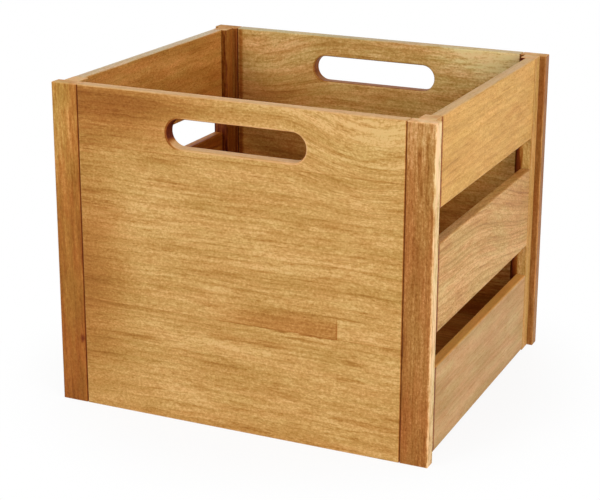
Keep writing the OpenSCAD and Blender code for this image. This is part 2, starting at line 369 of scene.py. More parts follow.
def build_edges():
    """For each axis, half size less distance from the middle. Of the three, sorted, the second,
    over a reach that a slow noise varies from half to 1.6 times its length."""
    pattern, given, give = new_group(
        "board edges",
        [("Place", PLACE, (0, 0, 0)), ("Middle", PLACE, (0, 0, 0)), ("Half size", PLACE, (1, 1, 1)),
         ("Reach", NUMBER, 0.002)],
        [("Wear", NUMBER)])
    away = pattern.vector("ABSOLUTE", pattern.vector("SUBTRACT", given["Place"], given["Middle"]))
    a, b, c = pattern.split(pattern.vector("SUBTRACT", given["Half size"], away))
    least, most = pattern.math("MINIMUM", a, b), pattern.math("MAXIMUM", a, b)
    second = pattern.math("MAXIMUM", least, pattern.math("MINIMUM", most, c))
    patchy = pattern.noise(given["Place"], PATCH_FINENESS, detail=3.0, roughness=0.65)
    reach = pattern.math("MULTIPLY", given["Reach"], pattern.ramp(patchy, *NOISE_SPAN, low=0.5, high=1.6))
    give("Wear", pattern.ramp(pattern.math("DIVIDE", second, reach), 0.0, 1.0, low=1.0, high=0.0))


build_edges()
print("group built:", bpy.data.node_groups["board edges"].name)

# %% [markdown]
# ## The rim of a hand hole
# The hole was cut with a router, and its rim is rounded on both faces. The wall and the rim look
# different, so each gets a mask of its own. The hole is a slot with round ends: the distance to
# it is that to a short line along its middle, less its radius.

# %% Distance to the hand hole
# How far off the slot each mask starts to fade, and where it is gone.
WALL_FADES, RIM_FADES = (mm(0.1), mm(0.8)), (mm(1.3), mm(2.2))


def build_hole_rim():
    """Length of (how far x lies past the straight part, z), less the radius. Cut: 1 on the hole's
    wall, where that is 0. Bare: 1 on the rounded rim, which is the next millimetre and a half."""
    pattern, given, give = new_group("hole rim", [("Place", PLACE, (0, 0, 0))],
                                     [("Bare", NUMBER), ("Cut", NUMBER)])
    x, _, z = pattern.split(given["Place"])
    past = pattern.math("SUBTRACT", pattern.math("ABSOLUTE", x), (HOLE_LENGTH - HOLE_HEIGHT) / 2)
    rise = pattern.math("SUBTRACT", z, HOLE_Z)
    reach = pattern.vector("LENGTH", pattern.join(pattern.math("MAXIMUM", past, 0.0), rise, 0.0))
    outside = pattern.math("SUBTRACT", reach, HOLE_HEIGHT / 2)
    cut = pattern.ramp(outside, *WALL_FADES, low=1.0, high=0.0)
    give("Cut", cut)
    near = pattern.ramp(outside, *RIM_FADES, low=1.0, high=0.0)
    give("Bare", pattern.math("MULTIPLY", near, pattern.rest(cut)))


build_hole_rim()
print("group built:", bpy.data.node_groups["hole rim"].name)

# %% [markdown]
# ## Boards glued from planks
# No tree gives a board this wide, so the front and the back are each glued from three planks.
# A glue line is hardly visible; what gives it away is that the figure stops there and another
# begins. So each plank takes its pattern from another place in the trunk, and the line itself
# is only a hair's breadth of darker tone.

# %% Planks and their glue lines
GLUE_LINES = ("Lower line", "Upper line")
GLUE_FADES = (mm(0.2), mm(0.7))


def build_planks():
    """Plank number: how many of the two glue lines lie below. The pattern's place moves by a
    fixed step for each number. Line: 1 on a glue line, 0 from 0.7 mm off it."""
    pattern, given, give = new_group(
        "glued planks",
        [("Pattern", PLACE, (0, 0, 0)), ("Height", NUMBER, 0.0), ("Lower line", NUMBER, 0.1),
         ("Upper line", NUMBER, 0.2), ("Step", PLACE, (0.5, 0.03, 0.05))],
        [("Pattern", PLACE), ("Line", NUMBER)])
    number = pattern.total(*(pattern.math("GREATER_THAN", given["Height"], given[line])
                             for line in GLUE_LINES))
    give("Pattern", pattern.vector("MULTIPLY_ADD", pattern.join(number, number, number), given["Step"],
                                   given["Pattern"]))
    gaps = [pattern.math("ABSOLUTE", pattern.math("SUBTRACT", given["Height"], given[line]))
            for line in GLUE_LINES]
    give("Line", pattern.math("MAXIMUM", *(pattern.ramp(gap, *GLUE_FADES, low=1.0, high=0.0)
                                           for gap in gaps)))


build_planks()
print("group built:", bpy.data.node_groups["glued planks"].name)

# %% [markdown]
# ## Marks in the wood
# Boards have darker clouds, paler ends, mineral streaks and small knots, and some of the spots
# here are painted shade and painted light. Each is a soft spot at a place on the board, and its
# edge is frayed along the grain so that it belongs to the wood. A spot that is thin across the board reaches
# only one of its faces.

# %% A soft spot
def build_spot():
    """Length of (place less middle) over size, plus the fray: 1 below 0.1, 0 above 1."""
    pattern, given, give = new_group(
        "soft spot",
        [("Place", PLACE, (0, 0, 0)), ("Middle", PLACE, (0, 0, 0)), ("Size", PLACE, (1, 1, 1)),
         ("Fray", NUMBER, 0.5)],
        [("Spot", NUMBER)])
    offset = pattern.vector("SUBTRACT", given["Place"], given["Middle"])
    offset = pattern.vector("DIVIDE", offset, given["Size"])
    away = pattern.math("ADD", pattern.vector("LENGTH", offset), given["Fray"])
    give("Spot", pattern.ramp(away, 0.1, 1.0, low=1.0, high=0.0))


def add_spots(pattern, place, spots, fray):
    """Sum of all spots, each a soft patch at a middle, of a size, times its own strength."""
    total = 0.0
    for middle, size, strength in spots:
        spot = pattern.place_group("soft spot", {"Place": place, "Middle": middle, "Size": size,
                                                 "Fray": fray})
        total = pattern.math("MULTIPLY_ADD", spot["Spot"], strength, total)
    return total


build_spot()
print("group built:", bpy.data.node_groups["soft spot"].name)

# %% [markdown]
# ## The end of a short plank
# Planks are also joined end to end. On the front, one short redder plank shows as a small
# patch: sharp along the glue line below it and at its right end, where a thin dark line marks
# the butt joint, and melting into its neighbours above and to the left.

# %% A short plank's end
# For each limit of the patch, where the step starts and ends, counted from the limit.
PLANK_STEPS = {"Left": (mm(-45), mm(45)), "Right": (mm(-0.3), mm(0.6)), "Low": (mm(-0.5), mm(0.8)),
               "High": (mm(-12), mm(4))}
BUTT_FADES = (mm(0.3), mm(1.0))
FRAYED_BY = mm(7)


def build_plank_end():
    """Product of four steps: slow from the left, sharp at the right end, sharp at the glue line
    below, slow towards the top. The butt joint is a narrow band at the right end."""
    pattern, given, give = new_group(
        "plank end",
        [("Place", PLACE, (0, 0, 0)), ("Left", NUMBER, 0.0), ("Right", NUMBER, 0.1), ("Low", NUMBER, 0.1),
         ("High", NUMBER, 0.12), ("Fray", NUMBER, 0.0)],
        [("Patch", NUMBER), ("Butt", NUMBER)])
    x, _, z = pattern.split(given["Place"])
    z = pattern.math("MULTIPLY_ADD", given["Fray"], FRAYED_BY, z)

    def past(value, limit):
        """0 up to a little before the limit, 1 from a little after it."""
        return pattern.ramp(pattern.math("SUBTRACT", value, given[limit]), *PLANK_STEPS[limit])

    before_end = pattern.rest(past(x, "Right"))
    tall = pattern.product(past(z, "Low"), pattern.rest(past(z, "High")))
    give("Patch", pattern.product(past(x, "Left"), before_end, tall))
    off_end = pattern.math("ABSOLUTE", pattern.math("SUBTRACT", x, given["Right"]))
    give("Butt", pattern.product(pattern.ramp(off_end, *BUTT_FADES, low=1.0, high=0.0), tall))


build_plank_end()
print("group built:", bpy.data.node_groups["plank end"].name)

# %% [markdown]
# ## The dark line of a joint
# Where a stile meets the wide board, both edges are eased, so the joint is a small groove, and
# where a slat goes into its post there is a step. Stain and dust gather in both, and they read
# as thin dark lines from top to bottom. The crate is the same on both sides of its middle, so
# one distance from the middle finds the joints of both sides.

# %% Stain in the joint
JOINTS = {"board and stile": ("X", mm(154)), "slat and post": ("Y", mm(132))}
GROOVE_FADES = (mm(0.3), mm(1.3))


def build_joint():
    """Distance of |along| from the joint: 1 in the groove, 0 a little way out on either side."""
    pattern, given, give = new_group("joint line", [("Along", NUMBER, 0.0), ("Joint", NUMBER, 0.1)],
                                     [("Groove", NUMBER)])
    away = pattern.math("SUBTRACT", pattern.math("ABSOLUTE", given["Along"]), given["Joint"])
    away = pattern.math("ABSOLUTE", away)
    give("Groove", pattern.ramp(away, *GROOVE_FADES, low=1.0, high=0.0))


build_joint()
print("group built:", bpy.data.node_groups["joint line"].name)

# %% [markdown]
# ## Grain that follows the board
# A Mapping node turns the grain to the board's length and sets where the pith of its trunk lay:
# close behind the face for arches, far to one side for straight lines. A board that is glued
# from planks then gets another piece of trunk for each plank.

# %% Lay the grain
GRAIN_TURN = {"x": Euler((0, 0, 0)), "y": Euler((0, 0, -pi / 2)), "z": Euler((0, pi / 2, 0))}
GRAIN_AXIS = {"x": Vector((1, 0, 0)), "y": Vector((0, 1, 0)), "z": Vector((0, 0, 1))}


def lay_grain(pattern, place, name, grain, pith, along, tilt):
    """The place, turned so that the grain runs along X, with the board's middle at (along, pith)."""
    turn = Matrix.Rotation(radians(tilt), 3, "Y") @ GRAIN_TURN[grain].to_matrix()
    start = Vector((along, *pith)) - turn @ box_of(name)[0]
    return pattern.add("ShaderNodeMapping", {"Vector": place, "Location": start,
                                             "Rotation": turn.to_euler()}).outputs[0]


def glue_planks(pattern, place, mapped, planks):
    """The pattern's place moved on for each plank, and the glue lines between them."""
    low_line, high_line, step = planks
    glued = pattern.place_group("glued planks", {
        "Pattern": mapped, "Height": pattern.split(place)[2], "Lower line": low_line,
        "Upper line": high_line, "Step": step})
    return glued["Pattern"], glued["Line"]


print("grain can run along:", *GRAIN_AXIS)

# %% [markdown]
# ## Where stain gathers
# Spots, glue lines, the short plank and the joints are all places with more or less stain than
# the board has elsewhere, so they are added up as one number, the marks. The fibres fray them.

# %% Gather the marks
LINE_STAIN, PATCH_STAIN, BUTT_STAIN, GROOVE_STAIN = 0.35, 0.75, 0.7, 1.6
FRAYED_EDGE, FRAY_START = 0.9, -0.3


def gather_marks(pattern, place, fibres, spots, line, plank_end, groove):
    """Sum of the spots, and of line, patch, butt joint and groove, each times its own stain."""
    fray = pattern.math("MULTIPLY_ADD", fibres, FRAYED_EDGE, FRAY_START)
    marks = add_spots(pattern, place, spots, fray)
    gathered = [(line, LINE_STAIN)]
    if plank_end:
        short = pattern.place_group("plank end", {"Place": place, "Fray": fray, **plank_end})
        gathered += [(short["Patch"], PATCH_STAIN), (short["Butt"], BUTT_STAIN)]
    for mask, stain in gathered + [(groove, GROOVE_STAIN)]:
        if mask is not None:
            marks = pattern.math("MULTIPLY_ADD", mask, stain, marks)
    return marks


print("stain in a groove:", GROOVE_STAIN)

# %% [markdown]
# ## Rim and ledges
# The top rim was sanded after the crate was put together: it is pale, in patches, and no mark
# runs over it. The upper edges of the slats below the gaps are ledges: they take a little more
# stain, which makes them darker, and no paler edge shows. On one
# of them the stain is also half rubbed off.

# %% Sand the rim, dust the ledges
# Each pair is where a soft step starts and where it ends.
LOOKS_UP = (0.3, 0.8)
RIM_STARTS = (RIM_Z - mm(2), RIM_Z - mm(1))
LEDGES_END = (HOLE_Z - HOLE_HEIGHT, HOLE_Z - HOLE_HEIGHT / 1.5)
LEDGE_STAIN = 0.42


def finish_tops(pattern, place, looks_up, drift, rim, rubbed_ledge, worn, marks):
    """Rim: looks up and lies at the top; worn in patches, and without marks. Ledge: looks up and
    lies lower than the hand hole; a little more stain, and worn only as far as the board says."""
    height = pattern.split(place)[2]
    on_rim = pattern.product(looks_up, pattern.ramp(height, *RIM_STARTS))
    patchy = pattern.ramp(drift, *NOISE_SPAN, low=0.5 * rim, high=1.1 * rim)
    worn = pattern.math("MAXIMUM", worn, pattern.product(on_rim, patchy))
    ledge = pattern.product(looks_up, pattern.ramp(height, *LEDGES_END, low=1.0, high=0.0))
    marks = pattern.product(marks, pattern.rest(on_rim))
    marks = pattern.math("MULTIPLY_ADD", ledge, LEDGE_STAIN, marks)
    worn = pattern.product(worn, pattern.rest(ledge))
    return pattern.math("MULTIPLY_ADD", ledge, rubbed_ledge, worn), marks


print("ledge stain:", LEDGE_STAIN)

# %% [markdown]
# ## The colours of a hand hole
# The wall of the hole gets more stain as painted shade, and half as much goes on the rounded rim
# at its left end. The lower wall is painted paler, as painted light, and hands have rubbed the rest
# of the front's rim pale. The back's hole has hardly any of the rubbing and painted light.

# %% Paint shade and light in the hole, and rub its rim
LEFT_END = (mm(-66), mm(-45))
LOWER_HALF = (HOLE_Z, HOLE_Z + mm(10))
# How much of the rim's wear the upper half keeps, and the painted shade on the rim's left end.
UPPER_RUB, RIM_SHADE = 0.8, 0.5


def hole_wear_and_painted_light(pattern, place, looks_up, rubbed, shaded, worn, marks):
    """Lit: the wall where it looks up, as painted light. Worn: the rim but for the left end, less
    above. Shaded: the rest of the wall and, half as much, the rim's left end, as painted shade."""
    edge = pattern.place_group("hole rim", {"Place": place})
    x, _, z = pattern.split(place)
    off_left = pattern.ramp(x, *LEFT_END)
    lower = pattern.ramp(z, *LOWER_HALF, low=1.0, high=UPPER_RUB)
    # Painted light on the lower wall; painted shade on the rest of the wall and on the rim's left end.
    rubbed_wall = pattern.product(edge["Cut"], looks_up, rubbed)
    rubbed_rim = pattern.product(edge["Bare"], off_left, lower, rubbed)
    shaded_wall = pattern.math("SUBTRACT", edge["Cut"], rubbed_wall)
    shaded_rim = pattern.product(edge["Bare"], RIM_SHADE, pattern.rest(off_left))
    worn = pattern.math("MAXIMUM", worn, pattern.math("MAXIMUM", rubbed_wall, rubbed_rim))
    return worn, pattern.math("MULTIPLY_ADD", pattern.math("MAXIMUM", shaded_wall, shaded_rim), shaded, marks)


print("the hole's left end reaches to x =", 1000 * LEFT_END[1], "mm")

# %% [markdown]
# ## One board, one finish
# Every board gets a material of its own, so that no two show the same figure. It starts from
# the growth of its piece of trunk, gathers its marks, wears off, and gives all that to the
# stain. Where marks take off more stain than the board has, it is rubbed through to paler wood.
# The lacquer's gloss is the same all over, so it is set on the shader itself.

# %% Finish a board
END_GRAIN = (0.6, 0.95)
RUBBED_THROUGH, THROUGH_WEAR = (-0.5, 0.0), 0.7
RELIEF_HEIGHT, RELIEF_STRENGTH, GLOSS = mm(0.4), 0.35, 0.15


def finish_board(name, grain, pith, depth,
                 along=0.0, tilt=0.0, ring=0.004, waver=0.012, bulges=(), planks=None,
                 figure=0.6, cloud=1.0, fine=1.0, hue=0.5, wood=BARE_WOOD, worn_wood=WORN_WOOD,
                 spots=(), plank_end=None, joint=None,
                 hidden=0.0, wear=0.0013, rim=1.0, rubbed_ledge=0.0, hole=None):
    """The material of one node, lengths in metres. Line by line:
    the node, its grain's axis, where the pith lay across from its middle, how deep the stain is;
    its piece of trunk: place along it, slant in degrees, ring width, waver, branches, planks;
    strength of rings, drift and fine marks, play of hue, the wood and what shows where it wears;
    where more or less stain lies, painted shade and painted light among it;
    the tongue or tenon at each end of its box, which the worn edge leaves out, the width of that
    edge, how far the rim and a ledge are worn, and the hand hole's worn and painted-light parts and its
    painted shade."""
    material = bpy.data.materials.new(name + "_wood")
    pattern = pattern_for(material)
    place = pattern.add("ShaderNodeTexCoord").outputs["Object"]
    facing = pattern.add("ShaderNodeNewGeometry").outputs["Normal"]
    mapped = lay_grain(pattern, place, name, grain, pith, along, tilt)
    line = groove = None
    if planks:
        mapped, line = glue_planks(pattern, place, mapped, planks)
    growth = pattern.place_group("growth", {"Place": mapped, "Ring width": ring, "Waver": waver,
                                            "Bulge": add_spots(pattern, place, bulges, 0.0)})
    if joint:
        axis, where = JOINTS[joint]
        groove = pattern.place_group("joint line", {"Along": pattern.split(place)[axis],
                                                    "Joint": where})["Groove"]
    marks = gather_marks(pattern, place, growth["Fibres"], spots, line, plank_end, groove)

    middle, half = box_of(name)
    worn = pattern.place_group("board edges", {"Place": place, "Middle": middle, "Reach": wear,
                                               "Half size": half - hidden * GRAIN_AXIS[grain]})["Wear"]
    if joint:
        worn = pattern.product(worn, pattern.rest(groove))
    looks_up = pattern.ramp(pattern.split(facing)[2], *LOOKS_UP)
    worn, marks = finish_tops(pattern, place, looks_up, growth["Drift"], rim, rubbed_ledge, worn, marks)
    through = pattern.ramp(pattern.math("ADD", marks, depth), *RUBBED_THROUGH, low=THROUGH_WEAR, high=0.0)
    worn = pattern.math("MAXIMUM", worn, through)
    if hole:
        worn, marks = hole_wear_and_painted_light(pattern, place, looks_up, hole["rubbed"], hole["shaded"], worn, marks)

    end = pattern.math("ABSOLUTE", pattern.vector("DOT_PRODUCT", facing, GRAIN_AXIS[grain]))
    grown = ("Rings", "Bands", "Fibres", "Pores", "Drift", "Lean", "Streaks", "Flecks")
    stain = pattern.place_group("stain", {
        **{label: growth[label] for label in grown}, "End grain": pattern.ramp(end, *END_GRAIN),
        "Spots": marks, "Wear": worn, "Depth": depth, "Figure": figure, "Cloud": cloud, "Fineness": fine,
        "Hue play": hue, "Wood": (*wood, 1), "Worn wood": (*worn_wood, 1)})
    relief = pattern.add("ShaderNodeBump", {"Strength": RELIEF_STRENGTH, "Distance": RELIEF_HEIGHT,
                                            "Height": stain["Relief"]})
    shader = pattern.add("ShaderNodeBsdfPrincipled", {
        "Base Color": stain["Colour"], "Roughness": stain["Roughness"], "Normal": relief.outputs[0],
        "Specular IOR Level": GLOSS})
    pattern.add("ShaderNodeOutputMaterial", {"Surface": shader.outputs[0]})
    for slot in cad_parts[name].material_slots:
        slot.material = material


print("boards to finish:", len(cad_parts) - 1)

# %% [markdown]
# ## The front
# The wide boards are golden brown, with fine short dashes all over and little figure. The
# front one is darker towards its top left corner, and a short red-brown plank end shows below
# the middle on the right. Near its top right corner a branch made the grain curl. All of this
# could be painted on by hand, but as places, sizes and strengths it follows the wood from any
# side, and a change costs one number.

# %% Finish the front
# A spot: its middle, its reach on each axis, and how much more stain lies there.
TOP_LEFT = (mm(-125, -154, 288), mm(170, 60, 70), 1.3)
FOOT_BAND = (mm(0, -154, 2), mm(300, 60, 16), 0.3)
LEFT_SIDE = (mm(-150, -154, 130), mm(70, 60, 200), 1.0)
PALE_CURL = (mm(125, -154, 275), mm(80, 60, 65), -0.22)
RED_END = {"Left": mm(5), "Right": mm(95), "Low": mm(103), "High": mm(124)}
# A branch: its middle, its reach, and how far it pushes the rings. Planks: two glue lines and the
# step from one plank's piece of trunk to the next.
FRONT_BRANCH = (mm(125, -154, 268), mm(90, 60, 75), 0.02)
FRONT_PLANKS = (mm(103), mm(247), (0.61, 0.02, -0.035))

finish_board("front_panel", "x", pith=(0.05, 0.16), depth=0.565, along=0.3, ring=0.0055, waver=0.014,
             bulges=(FRONT_BRANCH,), planks=FRONT_PLANKS, figure=0.35, cloud=0.9, hue=0.2,
             spots=(TOP_LEFT, FOOT_BAND, LEFT_SIDE, PALE_CURL), plank_end=RED_END,
             joint="board and stile", hidden=TONGUE, rim=0.95, hole={"rubbed": 1.0, "shaded": 3.6})
print("front glued at", FRONT_PLANKS[0], "and", FRONT_PLANKS[1], "m")

# %% [markdown]
# ## The back
# The back is built like the front, and a branch made its grain curl at the left, seen from the front.
# Its inner face gets painted shade, deepest low down and by the left corner, and painted light at
# its right end and top left: these thin spots lie on that face, so the outer face keeps the colour of the
# other boards.

# %% Finish the back
# Painted light at the right end and top left of the back's inner face; painted shade low down, lowest at the
# bottom, low on the left and in a band by the left corner.
PAINTED_LIGHT_RIGHT_END = (mm(135, 148, 290), mm(120, 11, 60), -0.95)
PAINTED_LIGHT_TOP_LEFT = (mm(-88, 148, 302), mm(85, 11, 55), -0.14)
PAINTED_SHADE_LOW = (mm(-90, 148, 120), mm(450, 11, 150), 1.7)
PAINTED_SHADE_LOWEST = (mm(60, 148, 30), mm(500, 11, 90), 2.0)
PAINTED_SHADE_LOW_LEFT = (mm(-110, 148, 228), mm(110, 11, 45), 0.76)
PAINTED_CORNER_SHADE = (mm(-150.5, 148, 150), mm(5, 8, 500), 1.8)
BACK_BRANCH = (mm(-140, 154, 265), mm(110, 60, 80), 0.022)
BACK_PLANKS = (mm(118), mm(206), (0.47, 0.03, 0.045))

finish_board("back_panel", "x", pith=(0.05, -0.03), depth=0.98, along=1.9, ring=0.006, waver=0.02,
             bulges=(BACK_BRANCH,), planks=BACK_PLANKS, figure=0.4, wood=ASHEN_WOOD, worn_wood=STONE_WOOD,
             spots=(PAINTED_LIGHT_RIGHT_END, PAINTED_LIGHT_TOP_LEFT, PAINTED_SHADE_LOW, PAINTED_SHADE_LOWEST, PAINTED_SHADE_LOW_LEFT, PAINTED_CORNER_SHADE),
             joint="board and stile", hidden=TONGUE, hole={"rubbed": 0.1, "shaded": 1.9})
print("back glued at", BACK_PLANKS[0], "and", BACK_PLANKS[1], "m")

# %% [markdown]
# ## Stiles
# The stiles are redder and more streaky than the boards between them, with the grain upright.
# The left one is yellow near the top and has one small knot low down. The right one's outer
# side is rubbed through to a pale strip along its whole height.

# %% Finish the four stiles
KNOT = (mm(-157, -160, 63), mm(3.5, 20, 6), 2.0)
YELLOW_TOP = (mm(-172, -160, 275), mm(30, 40, 130), -0.8)
DARK_FOOT = (mm(-167, -160, 0), mm(60, 40, 170), 0.5)
RUBBED_SIDE = (mm(180.8, -154, 150), mm(3.6, 60, 900), -2.3)
DARK_FOOT_RIGHT = (mm(167, -160, 0), mm(60, 40, 200), 0.35)
PALE_TOP = (mm(167, -160, 296), mm(60, 40, 95), -0.7)
DARK_INNER_EDGE = (mm(156, -160, 130), mm(9, 40, 500), 0.5)
# Painted shade on the back left stile's inner face, in the corner by the post and more of it low down.
CORNER_SHADE = (mm(-156, 148, 150), mm(5, 8, 500), 1.5)
LOW_CORNER_SHADE = (mm(-158, 146, 110), mm(18, 12, 190), 1.2)
PALE_FOOT = (mm(167, 154, 20), mm(60, 60, 150), -0.4)

finish_board("front_left_stile", "z", pith=(-0.07, 0.05), depth=1.7, along=0.7, tilt=2, figure=0.35,
             cloud=1.3, fine=0.85, hue=0.65, wood=WARM_WOOD,
             spots=(KNOT, YELLOW_TOP, DARK_FOOT), joint="board and stile", rim=1.5)
finish_board("front_right_stile", "z", pith=(0.01, 0.11), depth=1.55, along=2.2, ring=0.003, figure=0.5,
             fine=1.3, wood=DUN_WOOD, worn_wood=SANDED_WOOD,
             spots=(RUBBED_SIDE, DARK_FOOT_RIGHT, DARK_INNER_EDGE, PALE_TOP),
             joint="board and stile", rim=1.5)
finish_board("back_left_stile", "z", pith=(-0.05, 0.07), depth=1.6, along=3.1,
             spots=(CORNER_SHADE, LOW_CORNER_SHADE), joint="board and stile", rim=1.3)
finish_board("back_right_stile", "z", pith=(0.06, 0.04), depth=1.8, along=4.4, ring=0.005,
             wood=GREYED_WOOD, spots=(PALE_FOOT,), joint="board and stile", rim=1.5)
print("stiles finished:", sum("_stile_wood" in m.name for m in bpy.data.materials))

# %% [markdown]
# ## Slats
# The side slats are the palest wood, from gold at the top to a greyed pink at the bottom. The
# middle slat's grain runs aslant and droops towards the back, and the bottom one's ledge is
# rubbed to a honey colour. The slats on the left are only seen from inside, where they get painted
# shade, the lower ones most of all, so their shade spots are thin and lie on the inner face.

# %% Finish the slats
# Painted shadow: a dark strip on each right slat where it first shows behind the front right stile.
STILE_SHADOW_STRIP = (mm(174, -131, 150), mm(30, 4.6, 900), 2.3)
REAR_SHADE = (mm(175, 110, 170), mm(60, 90, 70), 0.35)
REAR_LIGHT = (mm(175, 110, 45), mm(60, 90, 90), -0.08)
DROOP = (mm(169, 210, 170), mm(60, 260, 120), 0.045)
# Painted shade on the inner face of the left slats, below the rim.
LOW_INSIDE_SHADE = (mm(-162, 80, 236), mm(10, 150, 42), 0.64)
IN_POSTS = {"joint": "slat and post", "hidden": TENON}
# For each left slat: its pith, its stain depth, and how much painted shade lies on its inner face.
LEFT_SLATS = {"top": ((-0.06, 0.04), 0.9, 0.58), "middle": ((-0.09, 0.09), 1.0, 2.5),
              "bottom": ((-0.04, 0.10), 0.9, 2.0)}

finish_board("right_top_slat", "y", pith=(0.12, 0.10), depth=0.69, along=0.2, ring=0.006, figure=0.25,
             cloud=0.6, fine=0.7, hue=0.2, wood=GOLDEN_WOOD, worn_wood=DUSTY_WOOD,
             spots=(STILE_SHADOW_STRIP,), **IN_POSTS)
finish_board("right_middle_slat", "y", pith=(0.06, 0.07), depth=0.6, along=1.3, tilt=-2, ring=0.0045,
             waver=0.004, bulges=(DROOP,), figure=0.5, cloud=0.4, wood=PALE_WOOD,
             spots=(REAR_SHADE, STILE_SHADOW_STRIP), wear=0.0006, **IN_POSTS)
finish_board("right_bottom_slat", "y", pith=(0.03, 0.13), depth=0.65, along=2.6, ring=0.006, figure=0.2,
             cloud=0.9, fine=0.42, wood=GREYED_WOOD, worn_wood=HONEY_WOOD, spots=(STILE_SHADOW_STRIP, REAR_LIGHT),
             wear=0.0006, rubbed_ledge=0.6, **IN_POSTS)
for number, (level, (pith, depth, inside)) in enumerate(LEFT_SLATS.items()):
    painted_shade_inside = (mm(-162, 0, 150), mm(10, 2000, 2000), inside)
    finish_board(f"left_{level}_slat", "y", pith=pith, depth=depth, along=3.5 + number, ring=0.005,
                 figure=0.26, cloud=1.1, wood=FOXY_WOOD, worn_wood=SILVER_WOOD,
                 spots=(painted_shade_inside, LOW_INSIDE_SHADE), rim=1.2, **IN_POSTS)
print("slats finished:", sum("_slat_wood" in m.name for m in bpy.data.materials))

# %% [markdown]
# ## Posts, cleats, floor and dowels
# The posts match the slats, each with a depth of its own. The back left one gets painted shade where
# it shows inside the crate, and the back right one where it shows through the gaps. Cleats and
# floor are inside and below, plain sawn, the floor stained the deepest. The dowels can't be
# seen, but a piece without a finish would show as grey when the crate is taken apart.

# %% Finish the rest of the wood
# Painted shade on the back posts, where they stand in the crate's corners or behind the gaps.
LOW_POST_SHADE = (mm(-166, 128, 120), mm(200, 10, 300), 7.0)
LOW_POST_SIDE_SHADE = (mm(-158, 142, 120), mm(7, 30, 300), 2.4)
POST_SHADE = (mm(160, 139, 150), mm(8, 40, 900), 5.0)
POSTS = {"front_left": (1.0, ()), "front_right": (1.1, ()), "back_left": (1.5, (LOW_POST_SHADE, LOW_POST_SIDE_SHADE)),
         "back_right": (0.75, (POST_SHADE,))}
CLEATS = {"front": "x", "back": "x", "left": "y", "right": "y"}

for number, (name, (depth, spots)) in enumerate(POSTS.items()):
    finish_board(name + "_post", "z", pith=(0.05, 0.06 - 0.03 * number), depth=depth, along=0.9 * number,
                 figure=0.4, spots=spots, wear=0.0003, rim=1.8)
for number, (name, grain) in enumerate(CLEATS.items()):
    finish_board(name + "_cleat", grain, pith=(0.06, -0.04 + 0.03 * number), depth=0.8, along=1.1 * number,
                 figure=0.5)
finish_board("floor_board", "x", pith=(0.02, 0.07), depth=1.5, along=6.0, ring=0.007, waver=0.03, figure=0.5)
finish_board("dowels", "y", pith=(0.02, 0.03), depth=0.3, along=7.0, figure=0.3)
print("wood finishes:", sum(name + "_wood" in bpy.data.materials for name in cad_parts))

# %% [markdown]
# ## Screws
# Countersunk screws hold the floor board down on its cleats, and more screws hold the cleats to
# the walls. Only the ten heads in the floor show. A screw is a shape turned on a lathe, so it is
# a grid: one way along the outline from the middle of the head to the point, the other way round
# the axis. The cross recess sinks the grid near the middle of the head, and the thread lets its
# radius rise and fall as it runs down, a little later at each angle, which makes the helix. A
# cylinder with a cut-out cross would need a Boolean modifier, and would still have no thread.

# %% The shape of a screw
HEAD_RADIUS, HEAD_HEIGHT, HEAD_EASE = mm(3.5), mm(2), mm(0.12)
SHANK_RADIUS, SCREW_LENGTH, POINT_LENGTH, POINT_ENDS = mm(1.75), mm(18), mm(3.2), mm(0.05)
THREAD_PITCH, THREAD_DEPTH, THREAD_START = mm(1.4), mm(0.42), mm(6)
RECESS_REACH, RECESS_WIDTH, RECESS_DEPTH = mm(2.3), mm(0.5), mm(1.1)
FACE_ROWS, SHANK_ROWS, AROUND = 12, 60, 40
FACE_SPAN, BLUNT_POINT = (0.04, 0.97), 0.03
ARM_SIDES, ARM_ENDS = (1.25, 0.75), (1.05, 0.55)


def smooth_step(value, start, stop):
    """Rises from 0 at start to 1 at stop as 3t squared less 2t cubed."""
    share = np.clip((value - start) / (stop - start), 0, 1)
    return share * share * (3 - 2 * share)


def screw_grid():
    """Points on (outline row, angle). Radius: the outline's, less the thread depth times how far
    (depth over pitch, plus turn) is from a whole number. Height: the outline's, less the recess,
    which is deep where the smaller of |x| and |y| is under half an arm's width."""
    face = np.linspace(*FACE_SPAN, FACE_ROWS)
    shank = np.linspace(HEAD_HEIGHT, SCREW_LENGTH - POINT_ENDS, SHANK_ROWS)
    taper = np.clip((SCREW_LENGTH - shank) / POINT_LENGTH, BLUNT_POINT, 1)
    radius = np.concatenate([face * HEAD_RADIUS, [HEAD_RADIUS], SHANK_RADIUS * taper])
    height = np.concatenate([np.zeros(FACE_ROWS), [-HEAD_EASE], -shank])
    turn = np.arange(AROUND) / AROUND
    r, h = radius[:, None] + 0 * turn, height[:, None] + 0 * turn
    x, y = r * np.cos(2 * pi * turn), r * np.sin(2 * pi * turn)
    arm = smooth_step(np.minimum(abs(x), abs(y)), *(RECESS_WIDTH * share for share in ARM_SIDES))
    arm = arm * smooth_step(np.maximum(abs(x), abs(y)), *(RECESS_REACH * share for share in ARM_ENDS))
    on_face = (np.arange(len(radius)) < FACE_ROWS)[:, None]
    h = h - on_face * arm * RECESS_DEPTH
    phase = (-h / THREAD_PITCH + turn) % 1
    cut = THREAD_DEPTH * smooth_step(-h, THREAD_START, THREAD_START + THREAD_PITCH) * 2 * abs(phase - 0.5)
    r = r - np.where(on_face, 0, cut * np.clip(r / SHANK_RADIUS, 0, 1))
    return np.stack([r * np.cos(2 * pi * turn), r * np.sin(2 * pi * turn), h], axis=2)


print("screw grid, rows by angles:", screw_grid().shape[:2])

# %% [markdown]
# ## Closing the screw
# The grid is a tube, open at the middle of the recess and at the point. A fan of triangles to
# one more point closes each end, and the last column of the grid joins the first, so no seam
# is left.

